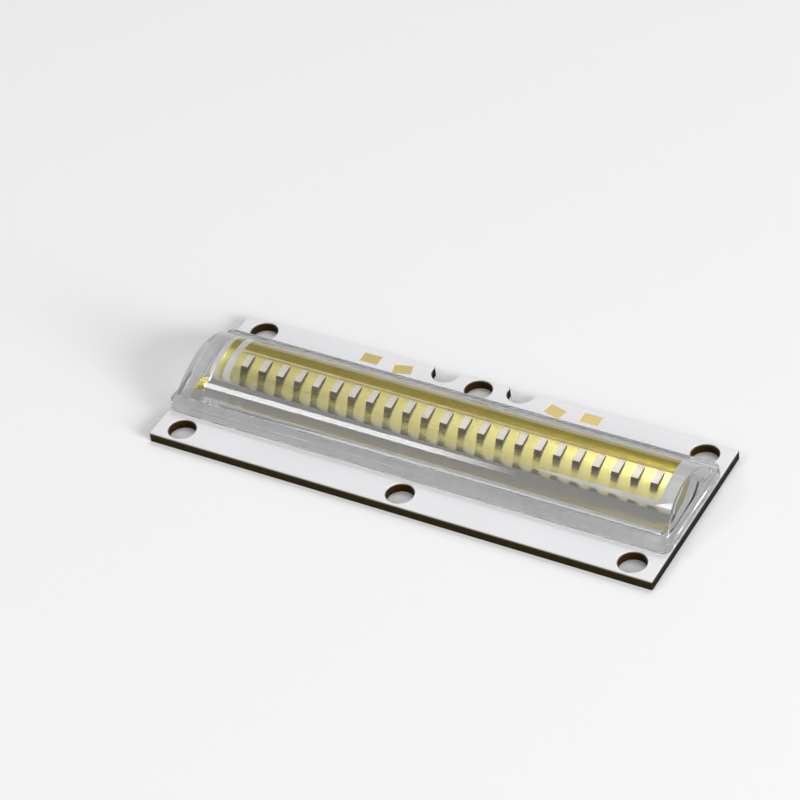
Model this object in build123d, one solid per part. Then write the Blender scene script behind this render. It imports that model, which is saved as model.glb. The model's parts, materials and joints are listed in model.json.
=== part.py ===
from build123d import *
import math
import os

# UV curing light module: a copper-backed board with a row of UV chips under a long glass lens.
# Millimetres. Origin at the middle of the board's flat back, +X along the board,
# +Y towards the notched edge with the solder pads, +Z out of the lens.

# Board layers, from the back up
base_thickness = 1.30
insulation_thickness = 0.08
track_thickness = 0.07
mask_cover = 0.05
mask_edge_margin = 0.10
board_corner_r = 0.2

# Screw holes and the notches in the back edge
hole_r = 2.0
hole_end_wall = 2.0
hole_edge_wall = 0.5
middle_hole_wall = 0.25
lens_to_hole = 0.7
notch_r = 2.0
notch_web = 2.0
notch_depth = 2.8
notch_lip_r = 0.4

# Row of chips
chip_count = 23
chip_pitch = 2.92
chip_width = 1.06
chip_length = 1.52
chip_height = 0.25
solder_thickness = 0.03
solder_margin = 0.03
row_x = 0.25
row_y = 2.48

# Gold tracks, and the windows in the white mask that lay them bare
strip_left_margin = 1.35
strip_right_margin = 1.05
strip_front_margin = 1.15
strip_back_margin = 0.385
strip_gap = 0.15
rib_lap = 0.03
busbar_bare_width = 1.65
window_corner_r = 0.2
mask_overlap = 0.10
end_bridge = 1.05
end_pad_length = 1.25
end_pad_corner_r = 1.0
arm_cover = 0.35
arm_gap = 0.40
run_width = 2.0
run_gap = 0.8
hole_to_copper = 0.5

# Solder pads on the back margin
outer_pad_length = 2.9
inner_pad_length = 2.8
pad_width = 1.9
outer_pad_inset = 2.0
inner_pad_inset = 2.4
inner_pad_turn = 14.5
notch_to_pad = 2.5
pad_pitch = 5.4
tab_cover = 0.2

# Bond wires from each chip to the busbar
wires_per_chip = 2
wire_pitch = 0.5
wire_thickness = 0.04
wire_foot = 0.12
wire_rise = 0.12
wire_crest = 0.12
wire_chip_inset = 0.15
wire_bar_inset = 0.40

# Lens and the silicone bead that holds it down
adhesive_thickness = 0.10
adhesive_setback = 0.4
adhesive_clearance = 0.3
flange_thickness = 1.7
flange_side_width = 1.5
flange_end_width = 0.6
flange_edge_r = 0.35
flange_corner_r = 1.2
crown_width = 14.6
crown_rise = 4.0
crown_end_wall = 1.55
crown_end_draft = 10.0
crown_end_r = 1.3
crown_foot_r = 0.2
crown_root = 1.1
groove_wire_clearance = 0.10
groove_end_margin = 0.75
groove_side_margin = 0.60
groove_corner_r = 1.5
lens_end_gap = 0.05

# Lengths along X, worked out from the row of chips outwards
row_half_length = (chip_count - 1) * chip_pitch / 2
strip_left = row_x - row_half_length - chip_width / 2 - strip_left_margin
strip_right = row_x + row_half_length + chip_width / 2 + strip_right_margin
end_pad_right = strip_left - end_bridge
end_pad_left = end_pad_right - end_pad_length
groove_half_length = groove_end_margin - end_pad_left
crown_half_length = groove_half_length + crown_end_wall
lens_half_length = crown_half_length + flange_end_width
board_half_length = lens_half_length + lens_end_gap
hole_x = board_half_length - hole_end_wall - hole_r
notch_x = hole_r + notch_web + notch_r

# Widths along Y
lens_half_width = crown_width / 2 + flange_side_width
hole_y = lens_half_width + lens_to_hole + hole_r
board_half_width = hole_y + hole_r + hole_edge_wall
middle_hole_y = board_half_width - middle_hole_wall - hole_r
notch_y = board_half_width - notch_depth + notch_r
strip_front = row_y - chip_length / 2 - strip_front_margin
strip_back = row_y + chip_length / 2 + strip_back_margin
busbar_front = strip_back + strip_gap
busbar_bare_back = busbar_front + busbar_bare_width
run_back = hole_y - hole_r - hole_to_copper
run_front = run_back - run_width
busbar_back = run_front - run_gap

# Heights along Z
insulation_z = base_thickness
track_z = insulation_z + insulation_thickness
gold_top = track_z + track_thickness
board_top = gold_top + mask_cover
chip_z = gold_top + solder_thickness
chip_top = chip_z + chip_height
lens_z = board_top + adhesive_thickness
groove_roof = chip_top + wire_rise + groove_wire_clearance

# Solder pads and the copper tabs that lead to them
inner_turn = math.radians(inner_pad_turn)
inner_reach_x = (inner_pad_length * math.cos(inner_turn) + pad_width * math.sin(inner_turn)) / 2
inner_reach_y = (pad_width * math.cos(inner_turn) + inner_pad_length * math.sin(inner_turn)) / 2
inner_pad_x = notch_x + notch_r + notch_to_pad + inner_reach_x
inner_pad_y = board_half_width - inner_pad_inset
outer_pad_x = inner_pad_x + pad_pitch
outer_pad_y = board_half_width - outer_pad_inset
SIDES = (-1, 1)


def slab(x_low, x_high, y_low, y_high):
    """Flat rectangle between two corners."""
    return Pos((x_low + x_high) / 2, (y_low + y_high) / 2) * Rectangle(x_high - x_low, y_high - y_low)


def at_both_ends(x_inner, x_outer, y_low, y_high):
    """The same rectangle at the left and the right end of the board."""
    return slab(x_inner, x_outer, y_low, y_high) + slab(-x_outer, -x_inner, y_low, y_high)


def board_outline(margin=0.0):
    """Board seen from above, with its screw holes and open notches, drawn in from every edge by a margin."""
    half_width = board_half_width - margin
    outline = Rectangle(2 * (board_half_length - margin), 2 * half_width)
    outline = fillet(outline.vertices(), board_corner_r - margin)
    mouth = 2 * math.sqrt((notch_r + margin) ** 2 - (half_width - notch_y) ** 2)
    for side in SIDES:
        outline -= Pos(side * notch_x, notch_y) * Circle(notch_r + margin)
    back_edge = outline.vertices().filter_by(lambda v: abs(v.Y - half_width) < 1e-4)
    lips = [v for v in back_edge if abs(abs(abs(v.X) - notch_x) - mouth / 2) < 1e-3]
    outline = fillet(lips, notch_lip_r - margin)
    for x in (-hole_x, hole_x):
        for y in (-hole_y, hole_y):
            outline -= Pos(x, y) * Circle(hole_r + margin)
    outline -= Pos(0, -hole_y) * Circle(hole_r + margin)
    outline -= Pos(0, middle_hole_y) * Circle(hole_r + margin)
    return outline


def layer(sketch, z, thickness):
    """Flat sheet of the given outline, lying at height z."""
    return Pos(0, 0, z) * extrude(sketch, thickness)


def chip_track_outline():
    """Copper that the chips stand on, led round both ends to the outer pads."""
    arm_outer = arm_cover - end_pad_left
    arm_front = strip_front - mask_overlap
    arm_reach = mask_overlap + arm_gap
    tab_inner = outer_pad_x - outer_pad_length / 2 - tab_cover
    tab_outer = outer_pad_x + outer_pad_length / 2 + tab_cover
    copper = slab(-arm_outer, arm_outer, arm_front, strip_back)
    copper += slab(-arm_outer, strip_left - arm_reach, arm_front, run_back)
    copper += slab(strip_right + arm_reach, arm_outer, arm_front, run_back)
    copper += at_both_ends(tab_inner, arm_outer, run_front, run_back)
    copper += at_both_ends(tab_inner, tab_outer, run_front, outer_pad_y + pad_width / 2 + tab_cover)
    return copper


def busbar_track_outline():
    """Copper behind the chips that takes their wires, with a tab to each inner pad."""
    tab_inner = inner_pad_x - inner_reach_x - tab_cover
    tab_outer = inner_pad_x + inner_reach_x + tab_cover
    copper = slab(strip_left - mask_overlap, strip_right + mask_overlap, busbar_front, busbar_back)
    copper += at_both_ends(tab_inner, tab_outer, busbar_back, inner_pad_y + inner_reach_y + tab_cover)
    return copper


def mask_windows():
    """Openings in the white mask: chips, busbar, left end pad and the four solder pads."""
    chip_window = slab(strip_left, strip_right, strip_front, strip_back - rib_lap)
    busbar_window = slab(strip_left, strip_right, busbar_front + rib_lap, busbar_bare_back)
    windows = fillet(chip_window.vertices(), window_corner_r)
    windows += fillet(busbar_window.vertices(), window_corner_r)
    end_pad = slab(end_pad_left, end_pad_right, strip_front, busbar_bare_back)
    windows += fillet(end_pad.vertices().group_by(Axis.X)[0], end_pad_corner_r)
    for side in SIDES:
        inner = Rot(0, 0, -side * inner_pad_turn) * Rectangle(inner_pad_length, pad_width)
        windows += Pos(side * inner_pad_x, inner_pad_y) * inner
        windows += Pos(side * outer_pad_x, outer_pad_y) * Rectangle(outer_pad_length, pad_width)
    return windows


def solder_mask(chip_track, busbar_track):
    """White mask: it lies on the insulation, beds the tracks and leaves a rib over the gap between them."""
    thickness = track_thickness + mask_cover
    mask = layer(board_outline(mask_edge_margin), track_z, thickness) - chip_track - busbar_track
    return mask - layer(mask_windows(), track_z, thickness)


def chip_xs():
    """Centre of each chip along the row."""
    return [row_x - row_half_length + i * chip_pitch for i in range(chip_count)]


def chip(x):
    """One UV chip: a flat block with the square corners that the dicing saw leaves."""
    return layer(Pos(x, row_y) * Rectangle(chip_width, chip_length), chip_z, chip_height)


def die_solder():
    """Solder under each chip, showing as a hair's breadth round its foot."""
    pad = Rectangle(chip_width + 2 * solder_margin, chip_length + 2 * solder_margin)
    return [layer(Pos(x, row_y) * pad, gold_top, solder_thickness) for x in chip_xs()]


def bond_wire(x):
    """One wire: a foot on the chip, a low loop over its back edge and a foot on the busbar."""
    chip_back = row_y + chip_length / 2
    start = chip_back - wire_chip_inset - wire_foot
    end = busbar_front + rib_lap + wire_bar_inset + wire_foot
    crest_z = chip_top + wire_rise - wire_thickness
    course = [
        (start, chip_top),
        (start + wire_foot, chip_top),
        (chip_back, crest_z),
        (chip_back + wire_crest, crest_z),
        (end - wire_foot, gold_top),
        (end, gold_top),
    ]
    upper_side = [(y, z + wire_thickness) for y, z in reversed(course)]
    profile = make_face(Polyline(*course, *upper_side, close=True))
    wire = extrude(Plane.YZ * profile, wire_thickness / 2, both=True)
    return Pos(x, 0, 0) * wire


def bond_wires():
    """All the wires, side by side on each chip."""
    middle = (wires_per_chip - 1) / 2
    return [bond_wire(x + (i - middle) * wire_pitch) for x in chip_xs() for i in range(wires_per_chip)]


def lens_adhesive():
    """Thin bead of silicone under the rim of the lens, set back from both its edges."""
    outer = RectangleRounded(
        2 * (lens_half_length - adhesive_setback),
        2 * (lens_half_width - adhesive_setback),
        flange_corner_r,
    )
    groove_half_width = busbar_bare_back + groove_side_margin
    inner = RectangleRounded(
        2 * (groove_half_length + adhesive_clearance),
        2 * (groove_half_width + adhesive_clearance),
        groove_corner_r,
    )
    return layer(outer - inner, board_top, adhesive_thickness)


def lens():
    """Glass lens: a long crown of circular section on a flat flange, relieved below for the chips."""
    flange = extrude(RectangleRounded(2 * lens_half_length, 2 * lens_half_width, flange_corner_r), flange_thickness)
    flange = fillet(flange.edges().group_by(Axis.Z)[-1], flange_edge_r)

    # The crown is carried down into the flange, so that its leaning, rounded ends run out inside it
    crown_r = ((crown_width / 2) ** 2 + crown_rise**2) / (2 * crown_rise)
    top = flange_thickness + crown_rise
    root_z = flange_thickness - crown_root
    root_y = math.sqrt(crown_r**2 - (root_z - top + crown_r) ** 2)
    arc = ThreePointArc((-root_y, root_z), (0, top), (root_y, root_z))
    section = make_face(Curve() + [arc, Line(arc @ 1, arc @ 0)])
    lean = math.tan(math.radians(crown_end_draft))
    foot_x = crown_half_length + 2 * crown_root * lean
    head_x = crown_half_length - (crown_rise + crown_root) * lean
    foot_z = flange_thickness - 2 * crown_root
    head_z = top + crown_root
    side = make_face(Polyline((-foot_x, foot_z), (foot_x, foot_z), (head_x, head_z), (-head_x, head_z), close=True))
    crown = extrude(Plane.YZ * section, foot_x, both=True) & extrude(Plane.XZ * side, crown_width, both=True)
    crown = fillet(crown.edges().filter_by(GeomType.LINE, reverse=True), crown_end_r)

    body = flange + crown
    foot = body.edges().filter_by_position(Axis.Z, flange_thickness - 1e-4, flange_thickness + 1e-4)
    inside_x = crown_half_length + 1e-3
    inside_y = crown_width / 2 + 1e-3
    foot = [e for e in foot if abs(e.center().X) < inside_x and abs(e.center().Y) < inside_y]
    body = fillet(foot, crown_foot_r)

    groove_half_width = busbar_bare_back + groove_side_margin
    groove = extrude(RectangleRounded(2 * groove_half_length, 2 * groove_half_width, groove_corner_r), groove_roof - lens_z)
    return Pos(0, 0, lens_z) * (body - groove)


def save(node, shape):
    """Write one sub-part under its own name; a list is a group of separate solids."""
    solids = shape if isinstance(shape, list) else [shape]
    solids = [s for item in solids for s in item.solids()]
    whole = solids[0] if len(solids) == 1 else Compound(children=solids)
    export_step(whole, f"parts/{node}.step")


os.makedirs("parts", exist_ok=True)
board = board_outline()
chip_track = layer(chip_track_outline(), track_z, track_thickness)
busbar_track = layer(busbar_track_outline(), track_z, track_thickness)
save("base_plate", layer(board, 0, base_thickness))
save("insulation_layer", layer(board, insulation_z, insulation_thickness))
save("chip_track", chip_track)
save("busbar_track", busbar_track)
save("solder_mask", solder_mask(chip_track, busbar_track))
save("die_solder", die_solder())
for number, chip_x in enumerate(chip_xs(), start=1):
    save(f"uv_chip_{number:02d}", chip(chip_x))
save("bond_wires", bond_wires())
save("lens_adhesive", lens_adhesive())
save("lens", lens())
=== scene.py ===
"""UV curing light module: glass lens, board finishes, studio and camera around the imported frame.

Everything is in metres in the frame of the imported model: +X along the board, +Y towards the notched
edge and +Z out of the lens. The lens and its bead are modelled in millimetres and then shrunk.
"""
import json
import math

import bpy
from bpy.props import FloatProperty, FloatVectorProperty, IntProperty, PointerProperty
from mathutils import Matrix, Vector


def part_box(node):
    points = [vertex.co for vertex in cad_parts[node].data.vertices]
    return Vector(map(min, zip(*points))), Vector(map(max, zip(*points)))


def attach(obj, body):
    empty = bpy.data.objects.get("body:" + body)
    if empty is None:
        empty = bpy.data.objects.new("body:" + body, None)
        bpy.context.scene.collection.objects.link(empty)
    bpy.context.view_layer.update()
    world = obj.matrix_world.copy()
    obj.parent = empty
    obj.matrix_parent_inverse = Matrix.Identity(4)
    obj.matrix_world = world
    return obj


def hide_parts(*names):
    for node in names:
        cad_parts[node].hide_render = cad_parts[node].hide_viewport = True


bl_info = {
    "name": "UV Curing Light Module",
    "version": (1, 0, 0),
    "blender": (4, 5, 0),
    "location": "View3D > Sidebar > Curing Module",
    "description": "Models the glass lens and finishes the board of a UV curing light module",
    "category": "Add Mesh",
}

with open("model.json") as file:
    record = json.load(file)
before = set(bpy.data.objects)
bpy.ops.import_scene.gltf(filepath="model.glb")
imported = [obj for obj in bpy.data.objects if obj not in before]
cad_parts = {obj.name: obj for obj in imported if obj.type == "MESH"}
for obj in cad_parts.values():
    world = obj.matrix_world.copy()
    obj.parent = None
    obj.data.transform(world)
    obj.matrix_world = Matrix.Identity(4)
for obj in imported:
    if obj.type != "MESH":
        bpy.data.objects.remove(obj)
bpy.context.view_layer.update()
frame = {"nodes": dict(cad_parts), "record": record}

MM = 0.001
# Millimetres within which two places count as the same
NEAR = 0.001

LENS_LOW, LENS_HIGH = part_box("lens")
BEAD_LOW, BEAD_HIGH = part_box("lens_adhesive")
WIRES_LOW, WIRES_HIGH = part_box("bond_wires")
BUSBAR_LOW, BUSBAR_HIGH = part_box("busbar_track")
CHIPS = sorted(name for name in frame["nodes"] if name.startswith("uv_chip_"))
FIRST_CHIP_LOW, FIRST_CHIP_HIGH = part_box(CHIPS[0])
CHIP_PITCH = (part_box(CHIPS[-1])[0].x - FIRST_CHIP_LOW.x) / (len(CHIPS) - 1)
BOARD_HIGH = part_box("base_plate")[1]

# Z of a face's normal, 0 on an upright face and 1 on a level one, over which it turns to flat
FLAT = (0.5, 0.9)

# Millimetres by which the silicone stays back from the relief's walls and reaches into the glass
BEAD_SETBACK = 0.3
BEAD_BOND = 0.01

# Millimetres by which a cutting block sticks out of what it cuts
OVERRUN = 1.0

# Segments of the rounded edges
CORNER_STEPS = 12
FLANGE_EDGE_STEPS = 8
CROWN_END_STEPS = 14
CROWN_FOOT_STEPS = 5
GROOVE_STEPS = 10
BEAD_STEPS = 8

# The photograph's camera, in metres and degrees
CAMERA_PLACE = (0.18191, -0.28467, 0.29853)
CAMERA_TURN = (49.2438, 5.6512, 28.5176)
CAMERA_LENS_MM = 146.29
SENSOR_MM = 36.0

# The floor, in metres, just under the board's back so that the two don't share a plane
FLOOR_SIZE = 4.0
FLOOR_GAP = 0.02 * MM

# The narrow softbox that the crown mirrors, in metres and degrees. Its glow fades out between two
# places along it, given as parts of its length from its middle.
STRIP_PLACE = (-0.179, -0.217, 0.2945)
STRIP_TURN = (36.6, 0, 0)
STRIP_SIZE = (0.094, 0.060)
STRIP_FADE = (0.22, 0.50)

# Softboxes one metre from the lens: name, setting of its level, azimuth and elevation in degrees,
# and size in metres. Azimuth 0 is behind the board and 90 to its right.
SKY_LAMPS = (
    ("side_softbox", "side_level", 103, 16, (0.42, 0.50)),
    ("edge_softbox", "edge_level", 128, 28, (0.42, 0.28)),
    ("left_softbox", "left_level", 284, 43, (0.45, 0.26)),
    ("back_softbox", "back_level", 352, 43, (0.42, 0.22)),
    ("top_softbox", "top_level", 352, 66, (0.50, 0.32)),
    ("gold_left_softbox", "gold_left_level", 307, 54, (0.20, 0.22)),
    ("gold_right_softbox", "gold_right_level", 327, 50, (0.22, 0.24)),
)


class LensSizes(bpy.types.PropertyGroup):
    """Sizes of the glass lens that its outer box doesn't give."""

    crown_width: FloatProperty(
        name="Crown width", description="Width of the crown where it meets the flange",
        default=14.6 * MM, unit="LENGTH", precision=5)
    flange_thickness: FloatProperty(
        name="Flange thickness", description="Height of the flat rim under the crown",
        default=1.7 * MM, unit="LENGTH", precision=5)
    flange_end: FloatProperty(
        name="Flange end", description="Flat rim left beyond each end of the crown",
        default=0.6 * MM, unit="LENGTH", precision=5)
    flange_corner: FloatProperty(
        name="Flange corner", description="Radius of the flange's corners seen from above",
        default=1.2 * MM, unit="LENGTH", precision=5)
    flange_edge: FloatProperty(
        name="Flange edge", description="Rounding along the flange's top edge",
        default=0.35 * MM, unit="LENGTH", precision=5)
    crown_end: FloatProperty(
        name="Crown end", description="Rounding between the crown and its end faces",
        default=1.3 * MM, unit="LENGTH", precision=5)
    crown_draft: FloatProperty(
        name="Crown draft", description="Lean of the crown's end faces",
        default=math.radians(10), unit="ROTATION")
    crown_foot: FloatProperty(
        name="Crown foot", description="Fillet between the crown and the flange",
        default=0.2 * MM, unit="LENGTH", precision=5)
    crown_root: FloatProperty(
        name="Crown root", description="How far the crown is carried down into the flange",
        default=1.1 * MM, unit="LENGTH", precision=5)
    groove_clearance: FloatProperty(
        name="Groove clearance", description="Air between the bond wires and the lens",
        default=0.10 * MM, unit="LENGTH", precision=5)
    groove_corner: FloatProperty(
        name="Groove corner", description="Radius of the corners of the relief under the lens",
        default=1.5 * MM, unit="LENGTH", precision=5)
    groove_end_wall: FloatProperty(
        name="Groove end wall", description="Glass left beyond each end of the relief",
        default=2.15 * MM, unit="LENGTH", precision=5)
    groove_side_wall: FloatProperty(
        name="Groove side wall", description="Glass left beside the relief",
        default=2.775 * MM, unit="LENGTH", precision=5)
    arc_steps: IntProperty(
        name="Arc steps", description="Steps round the full circle of the crown",
        default=360, min=48, max=720)


class BoardFinishes(bpy.types.PropertyGroup):
    """Colours of the board and of what stands on it, and the sizes of the wires."""

    foil: FloatVectorProperty(
        name="Gold foil", description="Gold plating of the tracks under the lens",
        subtype="COLOR", size=3, default=(0.99, 0.88, 0.31), min=0, max=1)
    # The busbar is the same gold foil, painted a deeper, darker gold as painted shade
    busbar: FloatVectorProperty(
        name="Gold busbar", description="Deeper gold of the foil behind the chips",
        subtype="COLOR", size=3, default=(0.83, 0.67, 0.09), min=0, max=1)
    pads: FloatVectorProperty(
        name="Solder pads", description="Duller gold of the four solder pads",
        subtype="COLOR", size=3, default=(0.72, 0.58, 0.24), min=0, max=1)
    plating: FloatVectorProperty(
        name="Back plating", description="Gold plating on the back of the board",
        subtype="COLOR", size=3, default=(0.78, 0.58, 0.16), min=0, max=1)
    plating_edge: FloatVectorProperty(
        name="Back plating near edges", description="Deeper gold beside the edges and holes",
        subtype="COLOR", size=3, default=(0.70, 0.36, 0.08), min=0, max=1)
    # Nearly black: partly oxide on the cut copper, partly painted shade on the board's edges
    cut_copper_and_shade: FloatVectorProperty(
        name="Cut copper", description="Darkened copper of the board's cut edges",
        subtype="COLOR", size=3, default=(0.020, 0.014, 0.002), min=0, max=1)
    # Nearly black: partly oxide in the holes, partly painted shade on their walls
    drilled_copper_and_shade: FloatVectorProperty(
        name="Drilled copper", description="Browner copper of the walls of the holes",
        subtype="COLOR", size=3, default=(0.046, 0.020, 0.003), min=0, max=1)
    mask: FloatVectorProperty(
        name="White mask", description="Ink that covers the face of the board",
        subtype="COLOR", size=3, default=(0.80, 0.80, 0.82), min=0, max=1)
    # Painted light: the ink under the lens is coloured lighter for the light the lens gathers onto it
    lens_light_ink: FloatVectorProperty(
        name="Ink under the lens", description="Cleaner ink that the lens covers",
        subtype="COLOR", size=3, default=(0.93, 0.93, 0.91), min=0, max=1)
    # Painted light: the ink between the foils is coloured cream for the gold light the foils throw on
    # it
    gold_light_ink: FloatVectorProperty(
        name="Ink in the gap", description="Cream ink between the two foils",
        subtype="COLOR", size=3, default=(0.95, 0.80, 0.42), min=0, max=1)
    insulation: FloatVectorProperty(
        name="Insulation", description="Filled resin between the copper and the foil",
        subtype="COLOR", size=3, default=(0.22, 0.20, 0.15), min=0, max=1)
    chip_face: FloatVectorProperty(
        name="Chip face", description="Pale top of each UV chip",
        subtype="COLOR", size=3, default=(1.0, 0.93, 0.84), min=0, max=1)
    # Partly painted shade: the sawn sides are coloured darker for the shade they stand in
    chip_side_and_shade: FloatVectorProperty(
        name="Chip side", description="Dark sawn sides of each UV chip",
        subtype="COLOR", size=3, default=(0.082, 0.068, 0.020), min=0, max=1)
    glass: FloatVectorProperty(
        name="Glass", description="Tint of the clear lens",
        subtype="COLOR", size=3, default=(0.99, 0.995, 0.99), min=0, max=1)
    silicone: FloatVectorProperty(
        name="Silicone", description="Bead between the lens and the board",
        subtype="COLOR", size=3, default=(0.70, 0.71, 0.71), min=0, max=1)
    solder: FloatVectorProperty(
        name="Solder", description="Dull grey solder under the chips",
        subtype="COLOR", size=3, default=(0.21, 0.20, 0.175), min=0, max=1)
    wire: FloatVectorProperty(
        name="Gold wire", description="Drawn gold of the bond wires",
        subtype="COLOR", size=3, default=(0.80, 0.60, 0.22), min=0, max=1)
    wire_bright: FloatVectorProperty(
        name="Bright gold wire", description="Gold where the wires are drawn brightest",
        subtype="COLOR", size=3, default=(0.92, 0.74, 0.36), min=0, max=1)
    wire_thickness: FloatProperty(
        name="Wire thickness", description="Thickness of the bond wires",
        default=0.04 * MM, unit="LENGTH", precision=5)
    wire_pitch: FloatProperty(
        name="Wire pitch", description="Distance between the two wires of a chip",
        default=0.5 * MM, unit="LENGTH", precision=5)


class StudioSettings(bpy.types.PropertyGroup):
    """Floor, lamps and world of the studio."""

    floor: FloatVectorProperty(
        name="Floor", description="Colour of the floor",
        subtype="COLOR", size=3, default=(0.91, 0.91, 0.915), min=0, max=1)
    room: FloatProperty(
        name="Room level", description="Grey of the room that the glass mirrors",
        default=0.23, min=0, max=1)
    strip_level: FloatProperty(
        name="Strip level", description="Brightness of the narrow softbox that the crown mirrors",
        default=16.0, min=0, max=60)
    side_level: FloatProperty(
        name="Side level", description="Brightness of the low softbox beyond the right end",
        default=18.5, min=0, max=60)
    edge_level: FloatProperty(
        name="Edge level", description="Brightness of the softbox at the front right",
        default=3.6, min=0, max=60)
    left_level: FloatProperty(
        name="Left level", description="Brightness of the softbox beyond the left end",
        default=0.5, min=0, max=60)
    back_level: FloatProperty(
        name="Back level", description="Brightness of the softbox behind the board",
        default=2.8, min=0, max=60)
    gold_left_level: FloatProperty(
        name="Gold left level", description="Brightness of the left panel that the gold mirrors",
        default=0.64, min=0, max=60)
    gold_right_level: FloatProperty(
        name="Gold right level", description="Brightness of the right panel that the gold mirrors",
        default=0.67, min=0, max=60)
    top_level: FloatProperty(
        name="Top level", description="Brightness of the softbox overhead",
        default=5.3, min=0, max=60)


class Signal:
    """A shader socket that can be used in sums and products."""

    def __init__(self, finish, socket):
        self.finish = finish
        self.socket = socket

    def math(self, operation, *others):
        values = dict(enumerate((self, *others)))
        return self.finish.add("ShaderNodeMath", values, operation=operation)[0]

    def swapped(self, operation, other):
        return self.finish.add("ShaderNodeMath", {0: other, 1: self}, operation=operation)[0]

    def __add__(self, other):
        return self.math("ADD", other)

    def __radd__(self, other):
        return self.swapped("ADD", other)

    def __sub__(self, other):
        return self.math("SUBTRACT", other)

    def __rsub__(self, other):
        return self.swapped("SUBTRACT", other)

    def __mul__(self, other):
        return self.math("MULTIPLY", other)

    def __rmul__(self, other):
        return self.swapped("MULTIPLY", other)

    def __truediv__(self, other):
        return self.math("DIVIDE", other)

    def __pow__(self, other):
        return self.math("POWER", other)

    def __abs__(self):
        return self.math("ABSOLUTE")

    def fraction(self):
        return self.math("FRACT")

    def smaller(self, other):
        return self.math("MINIMUM", other)

    def below(self, edge, blur):
        """1 below the edge, 0 above it, with a soft step as wide as blur."""
        return self.ramp(edge - blur / 2, edge + blur / 2, 1.0, 0.0)

    def ramp(self, start, end, low=0.0, high=1.0):
        """Low at start, high at end, and a straight blend between."""
        values = {"Value": self, "From Min": start, "From Max": end, "To Min": low, "To Max": high}
        return self.finish.add("ShaderNodeMapRange", values, clamp=True)[0]


class Finish:
    """A material under construction, with its Principled shader and object coordinates."""

    def __init__(self, name, **constants):
        self.material = bpy.data.materials.new(name)
        self.material.use_nodes = True
        self.tree = self.material.node_tree
        self.tree.nodes.clear()
        self.shader = self.tree.nodes.new("ShaderNodeBsdfPrincipled")
        output = self.tree.nodes.new("ShaderNodeOutputMaterial")
        self.tree.links.new(self.shader.outputs["BSDF"], output.inputs["Surface"])
        for socket, value in constants.items():
            self.shader.inputs[socket.replace("_", " ")].default_value = value
        self.place = self.add("ShaderNodeTexCoord")["Object"]

    def add(self, kind, values=None, **settings):
        """Adds a node, sets it up, feeds its sockets and returns its outputs as signals."""
        node = self.tree.nodes.new(kind)
        for key, value in settings.items():
            setattr(node, key, value)
        for key, value in (values or {}).items():
            self.feed(node.inputs[key], value)
        return Outputs(self, node)

    def feed(self, socket, value):
        """Links a signal to a socket, or sets the socket's own value."""
        if isinstance(value, Signal):
            self.tree.links.new(value.socket, socket)
        else:
            socket.default_value = value

    def drive(self, **signals):
        """Feeds the Principled shader's sockets from what varies over the surface."""
        for name, value in signals.items():
            self.feed(self.shader.inputs[name.replace("_", " ")], value)

    def axis(self, letter):
        """X, Y or Z of the point on the surface, in millimetres."""
        return self.add("ShaderNodeSeparateXYZ", {0: self.place})[letter] / MM

    def facing(self, letter):
        """X, Y or Z of the surface's own normal."""
        normal = self.add("ShaderNodeNewGeometry")["True Normal"]
        return self.add("ShaderNodeSeparateXYZ", {0: normal})[letter]

    def stretched(self, x, y, z):
        """Object coordinates in millimetres, stretched along each axis."""
        values = {"Vector": self.place, "Scale": (1 / (MM * x), 1 / (MM * y), 1 / (MM * z))}
        return self.add("ShaderNodeMapping", values, vector_type="POINT")[0]

    def grain(self, scale, detail, stretch=(1, 1, 1)):
        """Noise between 0 and 1, with scale in cycles a millimetre."""
        values = {"Vector": self.stretched(*stretch), "Scale": scale, "Detail": detail}
        return self.add("ShaderNodeTexNoise", values)[0]

    def specks(self, scale, size):
        """Small round specks, 1 inside each and 0 between them."""
        values = {"Vector": self.stretched(1, 1, 1), "Scale": scale}
        return self.add("ShaderNodeTexVoronoi", values)["Distance"].below(size, size / 3)

    def mix(self, amount, first, second):
        """A colour between first and second."""
        # The Mix node's colours are its sockets 6 and 7 and its output 2
        values = {0: amount, 6: opaque(first), 7: opaque(second)}
        return self.add("ShaderNodeMix", values, data_type="RGBA")[2]

    def bump(self, height, strength, distance):
        """Normal from a height signal, with distance in millimetres."""
        values = {"Height": height, "Strength": strength, "Distance": distance * MM}
        return self.add("ShaderNodeBump", values)["Normal"]


class Outputs:
    """Outputs of one node, by name or by number."""

    def __init__(self, finish, node):
        self.finish = finish
        self.node = node

    def __getitem__(self, key):
        return Signal(self.finish, self.node.outputs[key])


def opaque(colour):
    """The colour with an alpha of 1, or the signal as it is."""
    return colour if isinstance(colour, Signal) else (*colour, 1.0)


def shade(colour, factor):
    """The colour made lighter or darker by a factor."""
    return tuple(min(1.0, part * factor) for part in colour)


def foil_finish(colours):
    """Gold plating on etched foil: satin grain too fine to see, cloudy patches and a few pits."""
    finish = Finish("gold_foil", Metallic=1.0)
    y = finish.axis("Y")
    bar_half_width = 1.0
    # Painted shade: the busbar behind the chips is coloured a darker gold than the rest of the foil
    busbar_shade = abs(y - BUSBAR_LOW.y / MM - bar_half_width).below(bar_half_width + 0.2, 0.3)
    pads_start = 9.0
    pads = y.ramp(pads_start, pads_start + 0.5)
    clouds = finish.grain(0.35, 4)
    rolling = finish.grain(6.0, 2, stretch=(8, 1, 1))
    satin = finish.grain(24.0, 1).ramp(0.40, 0.60)
    pits = finish.specks(2.2, 0.06)
    gold = finish.mix(clouds.ramp(0.3, 0.7), shade(colours.foil, 0.96), shade(colours.foil, 1.03))
    gold = finish.mix(busbar_shade, gold, colours.busbar)
    gold = finish.mix(pads, gold, colours.pads)
    finish.drive(
        Base_Color=finish.mix(pits * 0.3, gold, shade(colours.foil, 0.6)),
        Roughness=0.14 + 0.16 * satin + 0.04 * clouds + 0.2 * pads,
        Normal=finish.bump(rolling + 0.4 * clouds, 0.08, 0.01),
    )
    return finish.material


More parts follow.
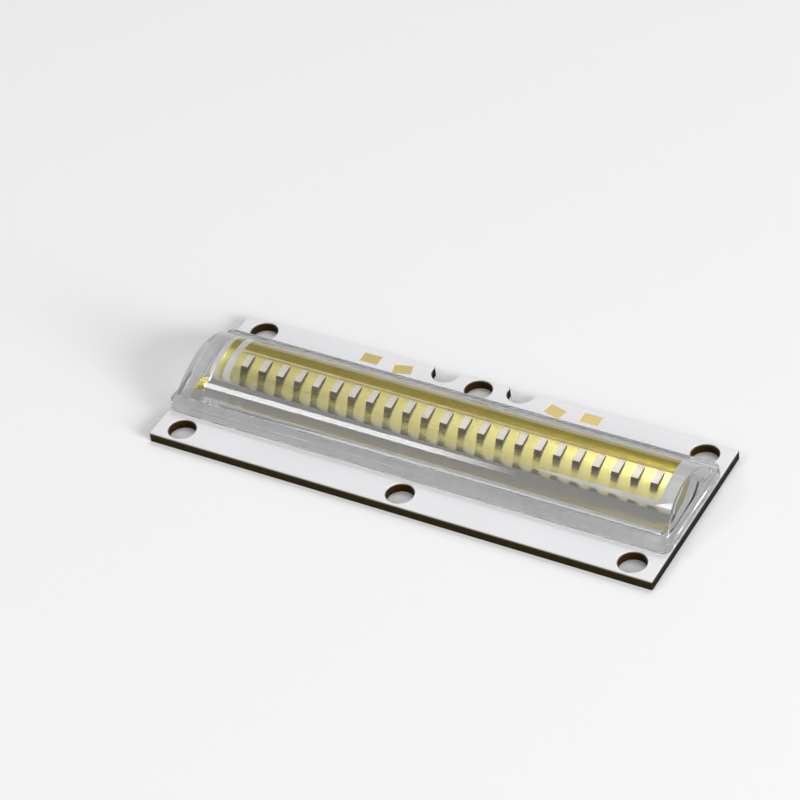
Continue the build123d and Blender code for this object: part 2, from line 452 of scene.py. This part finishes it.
def plate_finish(colours):
    """Copper plate: gold plating on the flat back, dark copper on its edges and in its holes, partly
    oxide and partly painted shade, the end faces painted darkest as shade.
    """
    finish = Finish("copper_plate", Specular_IOR_Level=0.08)
    x, y = finish.axis("X"), finish.axis("Y")
    flat = abs(finish.facing("Z")).ramp(*FLAT)
    # Painted shade: picks out the board's end faces, which are coloured darker still
    end = abs(finish.facing("X")).ramp(0.90, 0.97)
    to_edge = (BOARD_HIGH.x / MM - abs(x)).smaller(BOARD_HIGH.y / MM - abs(y))
    mounts = frame["record"]["mounts"]
    holes = next(mount["dims"] for mount in mounts if mount["name"] == "corner_screws")
    half_x, half_y = holes["spacing_x_mm"] / 2, holes["spacing_y_mm"] / 2
    to_centre = hole_distance(x, y, half_x, half_y).smaller(hole_distance(x, y, 0.0, half_y))
    to_hole = to_centre - holes["hole_r_mm"]
    worn_width = 2.4
    near_edge = to_edge.smaller(to_hole).below(worn_width / 2, worn_width)
    clouds = finish.grain(0.12, 4)
    brushed = finish.grain(3.0, 3, stretch=(14, 1, 1))
    warmth = (0.7 * near_edge + 0.35 * clouds.ramp(0.45, 0.75)).smaller(1.0)
    plating = finish.mix(warmth, colours.plating, colours.plating_edge)
    saw = finish.grain(2.5, 3, stretch=(1, 1, 10))
    cut = finish.mix(saw.ramp(0.35, 0.75), colours.cut_copper_and_shade, shade(colours.cut_copper_and_shade, 1.8))
    # Painted shade: the end faces take the cut copper at a small part of its brightness
    cut = finish.mix(end, cut, shade(colours.cut_copper_and_shade, 0.12))
    # The hole walls take the drilled copper colour, partly oxide and partly painted shade
    copper = finish.mix(to_hole.below(0.3, 0.2), cut, colours.drilled_copper_and_shade)
    finish.drive(
        Base_Color=finish.mix(flat, copper, plating),
        Metallic=0.55 + 0.45 * flat,
        Roughness=(0.50 + 0.14 * saw) * (1 - flat) + (0.27 + 0.10 * brushed) * flat,
        Normal=finish.bump(saw * (1 - flat) + 0.25 * brushed * flat, 0.35, 0.02),
    )
    return finish.material


def hole_distance(x, y, hole_x, hole_y):
    """Distance in the plane from the holes at plus and minus hole_x and hole_y."""
    across = abs(x) - hole_x
    along = abs(y) - hole_y
    return (across * across + along * along) ** 0.5


def mask_finish(colours):
    """White ink with faint clouds and pinholes, painted lighter under the lens for the light the lens
    gathers there, and painted cream between the foils for the gold light they throw into the gap.
    """
    finish = Finish("white_mask", Specular_IOR_Level=0.45)
    x, y = finish.axis("X"), finish.axis("Y")
    peel = finish.grain(2.2, 3)
    clouds = finish.grain(0.07, 3)
    pinholes = finish.specks(0.9, 0.025)
    # Painted light: a lighter ink colour under the lens stands in for the light the lens gathers
    lit_x, lit_y = BEAD_HIGH.x / MM - 1.5, BEAD_HIGH.y / MM - 2.0
    lens_light = abs(x).below(lit_x, 0.6) * abs(y).below(lit_y, 0.6)
    # Painted light: the gap between the foils is coloured cream for the gold light thrown into it
    gap = abs(y - BUSBAR_LOW.y / MM).below(0.25, 0.1) * abs(x).below(BUSBAR_HIGH.x / MM, 0.3)
    white = finish.mix(clouds.ramp(0.3, 0.7), shade(colours.mask, 0.97), shade(colours.mask, 1.02))
    white = finish.mix(lens_light, white, colours.lens_light_ink)
    white = finish.mix(gap, white, colours.gold_light_ink)
    finish.drive(
        Base_Color=finish.mix(pinholes * 0.25, white, shade(colours.mask, 0.6)),
        Roughness=0.36 + 0.14 * clouds + 0.06 * peel,
        Normal=finish.bump(peel, 0.10, 0.02),
    )
    return finish.material


def insulation_finish(colours):
    """Filled resin: dull and faintly grainy."""
    finish = Finish("filled_resin")
    grain = finish.grain(5.0, 4)
    body = finish.mix(grain, shade(colours.insulation, 0.92), shade(colours.insulation, 1.05))
    finish.drive(
        Base_Color=body,
        Roughness=0.55 + 0.2 * grain,
        Normal=finish.bump(grain, 0.2, 0.01),
    )
    return finish.material


def solder_finish(colours):
    """Solder under the chips: dull grey metal with a wavy skin."""
    finish = Finish("die_solder", Metallic=1.0)
    waves = finish.grain(7.0, 3)
    finish.drive(
        Base_Color=finish.mix(waves, shade(colours.solder, 0.76), shade(colours.solder, 1.24)),
        Roughness=0.3 + 0.25 * waves,
        Normal=finish.bump(waves, 0.3, 0.01),
    )
    return finish.material


def chip_finish(colours):
    """UV chip: pale top with a duller rim and fine contact fingers, dark sawn sides coloured darker
    partly as painted shade.
    """
    finish = Finish("uv_chip")
    top = finish.facing("Z").ramp(*FLAT)
    chip_half = (FIRST_CHIP_HIGH.x - FIRST_CHIP_LOW.x) / 2 / MM
    first_x = (FIRST_CHIP_HIGH.x + FIRST_CHIP_LOW.x) / 2 / MM
    pitch = CHIP_PITCH / MM
    across = abs(((finish.axis("X") - first_x) / pitch + 0.5).fraction() - 0.5) * pitch
    finger_pitch = chip_half / 2
    finger_half = 0.018
    finger = (abs((across / finger_pitch).fraction() - 0.5) * finger_pitch).below(finger_half, 0.01)
    rim_width = 0.05
    rim = (chip_half - across).below(rim_width, 0.02)
    bloom = finish.grain(1.6, 3)
    pale = colours.chip_face
    face = finish.mix(bloom.ramp(0.3, 0.7), shade(pale, 0.95), shade(pale, 1.03))
    face = finish.mix(finger * 0.30, face, shade(pale, 0.62))
    face = finish.mix(rim * 0.35, face, shade(pale, 0.75))
    saw = finish.grain(12.0, 2, stretch=(4, 4, 0.5))
    # Sawn sides, coloured dark partly as painted shade
    side = finish.mix(saw, colours.chip_side_and_shade, shade(colours.chip_side_and_shade, 1.8))
    finish.drive(
        Base_Color=finish.mix(top, side, face),
        Metallic=0.45 * top,
        Roughness=0.38 + 0.12 * bloom,
        Normal=finish.bump(finger + 0.5 * saw * (1 - top), 0.15, 0.005),
    )
    return finish.material


def wire_finish(colours):
    """Drawn gold wire, faintly uneven in colour and polish."""
    finish = Finish("gold_wire", Metallic=1.0)
    drawn = finish.grain(20.0, 2)
    finish.drive(
        Base_Color=finish.mix(drawn, colours.wire, colours.wire_bright),
        Roughness=0.16 + 0.1 * drawn,
    )
    return finish.material


def silicone_finish(colours):
    """Silicone bead: milky, with small bubbles."""
    finish = Finish("silicone_bead")
    milk = finish.grain(0.8, 3)
    bubbles = finish.specks(1.4, 0.05)
    clear = colours.silicone
    body = finish.mix(milk.ramp(0.3, 0.7), shade(clear, 0.94), shade(clear, 1.05))
    finish.drive(
        Base_Color=finish.mix(bubbles * 0.4, body, shade(clear, 1.3)),
        Roughness=0.24 + 0.12 * milk,
    )
    return finish.material


def glass_finish(colours):
    """Clear polished glass with faint polishing haze."""
    finish = Finish("lens_glass", Transmission_Weight=1.0, IOR=1.46)
    haze = finish.grain(0.25, 3)
    wipe = finish.grain(1.2, 2, stretch=(9, 1, 1))
    finish.drive(
        Base_Color=finish.mix(haze, colours.glass, shade(colours.glass, 1.02)),
        Roughness=0.004 + 0.010 * wipe.ramp(0.55, 0.8) * haze,
    )
    return finish.material


def start_clean():
    """Deselects everything, the frame's own nodes too, in object mode."""
    if bpy.context.object and bpy.context.object.mode != "OBJECT":
        bpy.ops.object.mode_set(mode="OBJECT")
    bpy.ops.object.select_all(action="DESELECT")


def only(piece):
    """Selects one object and nothing else, in object mode."""
    start_clean()
    piece.select_set(True)
    bpy.context.view_layer.objects.active = piece


def settle(piece):
    """Puts a piece's place, turn and size into its mesh."""
    only(piece)
    bpy.ops.object.transform_apply(location=True, rotation=True, scale=True)


def add_block(name, half_x, half_y, low_z, high_z):
    """Rectangular block centred over the origin."""
    start_clean()
    size = (2 * half_x, 2 * half_y, high_z - low_z)
    bpy.ops.mesh.primitive_cube_add(size=1, location=(0, 0, (low_z + high_z) / 2), scale=size)
    block = bpy.context.object
    block.name = name
    settle(block)
    return block


def upright(a, b):
    """Whether an edge between two points runs up or down."""
    return abs(a.z - b.z) > NEAR


def bevel_edges(piece, wanted, radius, steps, clamp=True):
    """Rounds the edges whose two ends pass the test."""
    only(piece)
    bpy.ops.object.mode_set(mode="EDIT")
    bpy.ops.mesh.select_mode(type="EDGE")
    bpy.ops.mesh.select_all(action="DESELECT")
    bpy.ops.object.mode_set(mode="OBJECT")
    points = [vertex.co for vertex in piece.data.vertices]
    chosen = [edge for edge in piece.data.edges if wanted(*(points[end] for end in edge.vertices))]
    if not chosen:
        raise RuntimeError(f"{piece.name} has no edge to round")
    for edge in chosen:
        edge.select = True
    bpy.ops.object.mode_set(mode="EDIT")
    bpy.ops.mesh.bevel(offset=radius, segments=steps, affect="EDGES", clamp_overlap=clamp)
    bpy.ops.object.mode_set(mode="OBJECT")


def combine(piece, tool, operation):
    """Joins a tool to a piece or cuts it away, and removes the tool."""
    only(piece)
    modifier = piece.modifiers.new(operation.lower(), "BOOLEAN")
    modifier.operation = operation
    modifier.solver = "EXACT"
    modifier.object = tool
    bpy.ops.object.modifier_apply(modifier=modifier.name)
    bpy.data.objects.remove(tool)
    if not piece.data.polygons:
        raise RuntimeError(f"nothing is left of {piece.name}")


def to_metres(piece):
    """Shrinks a piece that was modelled in millimetres."""
    piece.scale = (MM, MM, MM)
    settle(piece)


def smooth(piece, angle=35):
    """Smooth shading between gentle faces, with the large faces kept flat."""
    only(piece)
    bpy.ops.object.shade_smooth_by_angle(angle=math.radians(angle))
    modifier = piece.modifiers.new("weighted", "WEIGHTED_NORMAL")
    modifier.keep_sharp = True
    modifier.weight = 100
    bpy.ops.object.modifier_apply(modifier=modifier.name)


def dress(piece, material):
    """Gives a new piece its material, body and slot."""
    piece.data.materials.clear()
    piece.data.materials.append(material)
    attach(piece, "root")


def dress_node(name, material):
    """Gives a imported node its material."""
    node = frame["nodes"][name]
    if not node.material_slots:
        node.data.materials.append(material)
    for slot in node.material_slots:
        slot.material = material


def crown_block(lens, half_length, half_width, flange_top):
    """Long crown of circular section with leaning, rounded ends, cut off inside the flange."""
    top = LENS_HIGH.z / MM
    rise = top - flange_top
    radius = (half_width**2 + rise**2) / (2 * rise)
    root_z = flange_top - lens.crown_root / MM
    start_clean()
    bpy.ops.mesh.primitive_cylinder_add(
        vertices=lens.arc_steps, radius=radius, depth=2 * (half_length + rise),
        location=(0, 0, top - radius), rotation=(0, math.pi / 2, 0))
    crown = bpy.context.object
    crown.name = "crown"
    settle(crown)
    bpy.ops.object.mode_set(mode="EDIT")
    bpy.ops.mesh.select_all(action="SELECT")
    bpy.ops.mesh.bisect(plane_co=(0, 0, root_z), plane_no=(0, 0, 1), use_fill=True, clear_inner=True)
    lean_x, lean_z = math.cos(lens.crown_draft), math.sin(lens.crown_draft)
    for side in (-1, 1):
        bpy.ops.mesh.select_all(action="SELECT")
        bpy.ops.mesh.bisect(
            plane_co=(side * half_length, 0, flange_top), plane_no=(side * lean_x, 0, lean_z),
            use_fill=True, clear_outer=True)
    bpy.ops.object.mode_set(mode="OBJECT")

    def at_end(point):
        return abs((abs(point.x) - half_length) * lean_x + (point.z - flange_top) * lean_z) < NEAR

    def on_rim(a, b):
        return at_end(a) and at_end(b) and a.x * b.x > 0 and max(a.z, b.z) > root_z + NEAR

    bevel_edges(crown, on_rim, lens.crown_end / MM, CROWN_END_STEPS)
    return crown


def groove_half(lens):
    """Half the length and half the width of the relief under the lens, in millimetres."""
    half_length = (LENS_HIGH.x - lens.groove_end_wall) / MM
    half_width = (LENS_HIGH.y - lens.groove_side_wall) / MM
    return half_length, half_width


class CURING_OT_lens(bpy.types.Operator):
    """Model the glass lens: crown, flange, foot fillet and the relief underneath"""

    bl_idname = "curing.lens"
    bl_label = "Glass Lens"
    bl_options = {"REGISTER", "UNDO"}

    def execute(self, context):
        lens = context.scene.curing_lens
        bottom = LENS_LOW.z / MM
        flange_top = bottom + lens.flange_thickness / MM
        crown_x = (LENS_HIGH.x - lens.flange_end) / MM
        crown_y = lens.crown_width / MM / 2

        def on_flange_edge(a, b):
            return min(a.z, b.z) > flange_top - NEAR

        def on_crown_foot(a, b):
            level = max(abs(a.z - flange_top), abs(b.z - flange_top)) < NEAR
            within_x = max(abs(a.x), abs(b.x)) < crown_x + NEAR
            return level and within_x and max(abs(a.y), abs(b.y)) < crown_y + NEAR

        glass = add_block("glass_lens", LENS_HIGH.x / MM, LENS_HIGH.y / MM, bottom, flange_top)
        bevel_edges(glass, upright, lens.flange_corner / MM, CORNER_STEPS)
        bevel_edges(glass, on_flange_edge, lens.flange_edge / MM, FLANGE_EDGE_STEPS)
        combine(glass, crown_block(lens, crown_x, crown_y, flange_top), "UNION")
        # Not clamped, because the short edges round the crown's ends would narrow the fillet
        bevel_edges(glass, on_crown_foot, lens.crown_foot / MM, CROWN_FOOT_STEPS, clamp=False)

        groove_x, groove_y = groove_half(lens)
        roof = (WIRES_HIGH.z + lens.groove_clearance) / MM
        groove = add_block("groove", groove_x, groove_y, bottom - OVERRUN, roof)
        bevel_edges(groove, upright, lens.groove_corner / MM, GROOVE_STEPS)
        combine(glass, groove, "DIFFERENCE")

        to_metres(glass)
        smooth(glass)
        dress(glass, glass_finish(context.scene.curing_board))
        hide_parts("lens")
        return {"FINISHED"}


class CURING_OT_bead(bpy.types.Operator):
    """Model the silicone bead that holds the lens down"""

    bl_idname = "curing.bead"
    bl_label = "Silicone Bead"
    bl_options = {"REGISTER", "UNDO"}

    def execute(self, context):
        lens = context.scene.curing_lens
        groove_x, groove_y = groove_half(lens)
        window_x, window_y = groove_x + BEAD_SETBACK, groove_y + BEAD_SETBACK
        low, high = BEAD_LOW.z / MM, BEAD_HIGH.z / MM + BEAD_BOND

        bead = add_block("silicone_bead", BEAD_HIGH.x / MM, BEAD_HIGH.y / MM, low, high)
        bevel_edges(bead, upright, lens.flange_corner / MM, BEAD_STEPS)
        window = add_block("window", window_x, window_y, low - OVERRUN, high + OVERRUN)
        bevel_edges(window, upright, lens.groove_corner / MM, BEAD_STEPS)
        combine(bead, window, "DIFFERENCE")

        to_metres(bead)
        smooth(bead)
        dress(bead, silicone_finish(context.scene.curing_board))
        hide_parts("lens_adhesive")
        return {"FINISHED"}


class CURING_OT_board(bpy.types.Operator):
    """Finish the board's own layers: plate, insulation, foils, mask and solder"""

    bl_idname = "curing.board"
    bl_label = "Board Layers"
    bl_options = {"REGISTER", "UNDO"}

    def execute(self, context):
        colours = context.scene.curing_board
        foil = foil_finish(colours)
        dress_node("base_plate", plate_finish(colours))
        dress_node("insulation_layer", insulation_finish(colours))
        dress_node("chip_track", foil)
        dress_node("busbar_track", foil)
        dress_node("solder_mask", mask_finish(colours))
        dress_node("die_solder", solder_finish(colours))
        return {"FINISHED"}


class CURING_OT_wires(bpy.types.Operator):
    """Model the bond wires: one round loop from a chip to the busbar, copied along the row"""

    bl_idname = "curing.wires"
    bl_label = "Bond Wires"
    bl_options = {"REGISTER", "UNDO"}

    def execute(self, context):
        board = context.scene.curing_board
        radius = board.wire_thickness / 2
        # The bonded foot at each end is three thicknesses long
        foot = 3 * board.wire_thickness
        chip_top = FIRST_CHIP_HIGH.z + radius
        bar_top = WIRES_LOW.z + radius
        crest = WIRES_HIGH.z - radius
        start, end = WIRES_LOW.y, WIRES_HIGH.y
        crest_y = FIRST_CHIP_HIGH.y + foot / 2
        # Each point's Y and Z, and how far its handles reach along Y and Z
        course = [
            ((start, chip_top), (0, 0)),
            ((start + foot, chip_top), (foot / 2, 0)),
            ((crest_y, crest), (foot, 0)),
            ((end - foot, bar_top), (1.5 * foot, -1.2 * foot)),
            ((end, bar_top), (foot / 2, 0)),
        ]
        start_clean()
        bpy.ops.curve.primitive_bezier_curve_add()
        wire = context.object
        wire.name = "bond_wires_round"
        spline = wire.data.splines[0]
        spline.bezier_points.add(len(course) - len(spline.bezier_points))
        x = WIRES_LOW.x + radius
        for point, ((y, z), (reach_y, reach_z)) in zip(spline.bezier_points, course):
            point.handle_left_type = point.handle_right_type = "FREE"
            point.co = (x, y, z)
            point.handle_left = (x, y - reach_y, z - reach_z)
            point.handle_right = (x, y + reach_y, z)
        wire.data.dimensions = "3D"
        wire.data.resolution_u = 5
        wire.data.bevel_resolution = 1
        wire.data.bevel_depth = radius
        wire.data.use_fill_caps = True
        bpy.ops.object.origin_set(type="ORIGIN_CURSOR")
        bpy.ops.object.convert(target="MESH")
        for count, step in ((2, board.wire_pitch), (len(CHIPS), CHIP_PITCH)):
            row = wire.modifiers.new("row", "ARRAY")
            row.count = count
            row.use_relative_offset = False
            row.use_constant_offset = True
            row.constant_offset_displace = (step, 0, 0)
            bpy.ops.object.modifier_apply(modifier=row.name)
        smooth(wire, angle=50)
        dress(wire, wire_finish(board))
        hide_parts("bond_wires")
        return {"FINISHED"}


class CURING_OT_chips(bpy.types.Operator):
    """Finish the row of UV chips"""

    bl_idname = "curing.chips"
    bl_label = "UV Chips"
    bl_options = {"REGISTER", "UNDO"}

    def execute(self, context):
        chip = chip_finish(context.scene.curing_board)
        for name in CHIPS:
            dress_node(name, chip)
        return {"FINISHED"}


def floor_finish(studio):
    """Pale seamless floor with the faintest mottling."""
    finish = Finish("studio_floor", Roughness=0.9, Specular_IOR_Level=0.1)
    mottle = finish.grain(0.01, 2)
    finish.drive(Base_Color=finish.mix(mottle, shade(studio.floor, 0.998), studio.floor))
    return finish.material


def radians(degrees):
    """Turns a list of degrees into radians."""
    return [math.radians(angle) for angle in degrees]


def lamp_sheet(name, place, turn, size, level, fade=None):
    """Glowing sheet of a softbox. Its glow can fade out between two places along its length."""
    start_clean()
    bpy.ops.mesh.primitive_plane_add(size=1, location=place, rotation=turn)
    sheet = bpy.context.object
    sheet.name = name
    sheet.scale = (*size, 1)
    finish = Finish(
        name, Base_Color=(0, 0, 0, 1), Specular_IOR_Level=0.0,
        Emission_Color=(1, 1, 1, 1), Emission_Strength=level)
    if fade:
        along = finish.add("ShaderNodeSeparateXYZ", {0: finish.place})["X"]
        finish.drive(Emission_Color=finish.mix(along.ramp(*fade), (1, 1, 1), (0, 0, 0)))
    sheet.data.materials.append(finish.material)
    sheet.visible_camera = False
    sheet.visible_shadow = False
    return sheet


def sky_lamp(name, azimuth, elevation, size, level):
    """Softbox one metre from the lens that faces it."""
    around, up = math.radians(azimuth), math.radians(elevation)
    away = Vector((math.sin(around) * math.cos(up), math.cos(around) * math.cos(up), math.sin(up)))
    turn = away.to_track_quat("Z", "Y").to_euler()
    return lamp_sheet(name, away + Vector((0, 0, LENS_HIGH.z)), turn, size, level)


class CURING_OT_stage(bpy.types.Operator):
    """Set up the floor, softboxes, room and the photograph's camera"""

    bl_idname = "curing.stage"
    bl_label = "Stage"
    bl_options = {"REGISTER", "UNDO"}

    def execute(self, context):
        studio = context.scene.curing_studio
        start_clean()
        bpy.ops.mesh.primitive_plane_add(size=FLOOR_SIZE, location=(0, 0, -FLOOR_GAP))
        floor = context.object
        floor.name = "studio_floor"
        floor.data.materials.append(floor_finish(studio))

        strip_turn = radians(STRIP_TURN)
        strip = lamp_sheet(
            "strip_softbox", STRIP_PLACE, strip_turn, STRIP_SIZE, studio.strip_level, fade=STRIP_FADE)
        strip.visible_transmission = False
        for name, setting, azimuth, elevation, size in SKY_LAMPS:
            sky_lamp(name, azimuth, elevation, size, getattr(studio, setting))

        world = bpy.data.worlds.new("studio_room")
        context.scene.world = world
        world.use_nodes = True
        background = world.node_tree.nodes["Background"]
        background.inputs["Color"].default_value = (studio.room, studio.room, studio.room, 1)
        background.inputs["Strength"].default_value = 1.0

        bpy.ops.object.camera_add(location=CAMERA_PLACE, rotation=radians(CAMERA_TURN))
        camera = context.object
        camera.data.lens = CAMERA_LENS_MM
        camera.data.sensor_width = SENSOR_MM
        context.scene.camera = camera
        context.scene.view_settings.view_transform = "Standard"
        # Light that runs along inside the glass turns back many times before it comes out
        context.scene.cycles.max_bounces = 24
        context.scene.cycles.glossy_bounces = 16
        context.scene.cycles.transmission_bounces = 16
        return {"FINISHED"}


class CURING_PT_panel(bpy.types.Panel):
    """Buttons and settings of the curing module"""

    bl_label = "Curing Module"
    bl_idname = "CURING_PT_panel"
    bl_space_type = "VIEW_3D"
    bl_region_type = "UI"
    bl_category = "Curing Module"

    def draw(self, context):
        layout = self.layout
        scene = context.scene
        for operator in OPERATORS:
            layout.operator(operator.bl_idname)
        for settings in (scene.curing_lens, scene.curing_board, scene.curing_studio):
            box = layout.box()
            for name in type(settings).__annotations__:
                box.prop(settings, name)


OPERATORS = (
    CURING_OT_board,
    CURING_OT_chips,
    CURING_OT_wires,
    CURING_OT_bead,
    CURING_OT_lens,
    CURING_OT_stage,
)
CLASSES = (LensSizes, BoardFinishes, StudioSettings, *OPERATORS, CURING_PT_panel)


def register():
    """Adds the settings, the operators and the panel to Blender."""
    for cls in CLASSES:
        bpy.utils.register_class(cls)
    bpy.types.Scene.curing_lens = PointerProperty(type=LensSizes)
    bpy.types.Scene.curing_board = PointerProperty(type=BoardFinishes)
    bpy.types.Scene.curing_studio = PointerProperty(type=StudioSettings)


def unregister():
    """Takes out what register added."""
    del bpy.types.Scene.curing_studio
    del bpy.types.Scene.curing_board
    del bpy.types.Scene.curing_lens
    for cls in reversed(CLASSES):
        bpy.utils.unregister_class(cls)


def main():
    """Builds every piece and the stage."""
    register()
    bpy.ops.curing.board()
    bpy.ops.curing.chips()
    bpy.ops.curing.wires()
    bpy.ops.curing.bead()
    bpy.ops.curing.lens()
    bpy.ops.curing.stage()


if __name__ == "__main__":
    main()
